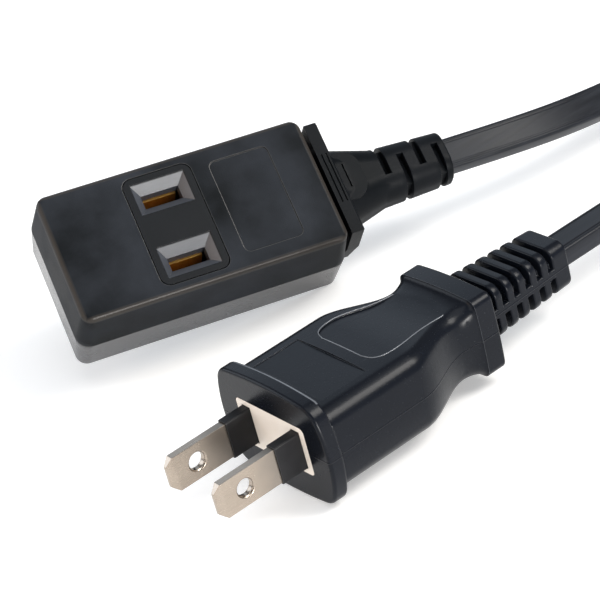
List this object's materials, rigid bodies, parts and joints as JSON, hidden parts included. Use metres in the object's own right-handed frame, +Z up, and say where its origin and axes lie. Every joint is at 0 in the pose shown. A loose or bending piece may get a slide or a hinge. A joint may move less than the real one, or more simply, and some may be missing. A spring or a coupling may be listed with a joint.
{
  "type": "plug",
  "caption": "Flat-blade mains plug with a waisted grip and ribbed strain relief, on a flat cord that is coiled and tied and ends in a slotted one-way socket.",
  "frame": {"origin": "middle of the plug's footprint, on the surface that the plug lies on", "axes": "+Y along the plug from the blade tips to the cord, +X across the blades, +Z up through the plug's thickness"},
  "size_m": [0.0975, 0.24, 0.0336],
  "materials": {
    "plug_moulding": "satin gloss moulded PVC",
    "bridge_resin": "pale moulded resin",
    "blade_plating": "bright nickel plating on brass",
    "sleeve_resin": "matte moulded resin",
    "bare_copper": "bare copper strands",
    "core_insulation": "soft PVC insulation",
    "socket_resin": "fine-grained satin resin",
    "insert_resin": "smooth moulded resin",
    "contact_brass": "bright sprung brass",
    "gland_moulding": "satin flexible PVC",
    "cord_jacket": "satin PVC jacket",
    "tie_strip": "matte plastic strip"
  },
  "bodies": {
    "root": {"plug_body": "plug_moulding", "plug_bridge": "bridge_resin", "blade_left": "blade_plating", "blade_right": "blade_plating", "blade_sleeve_left": "sleeve_resin", "blade_sleeve_right": "sleeve_resin", "plug_conductor_left": "bare_copper", "plug_conductor_right": "bare_copper", "plug_core_left": "core_insulation", "plug_core_right": "core_insulation", "socket_top_shell": "socket_resin", "socket_bottom_shell": "socket_resin", "socket_insert": "insert_resin", "socket_contact_left": "contact_brass", "socket_contact_right": "contact_brass", "socket_conductor_left": "bare_copper", "socket_conductor_right": "bare_copper", "socket_core_left": "core_insulation", "socket_core_right": "core_insulation", "socket_gland": "gland_moulding", "cord_plug_run": "cord_jacket", "cord_socket_run": "cord_jacket", "cord_coil": "cord_jacket", "cord_tie": "tie_strip"}
  },
  "joints": []
}
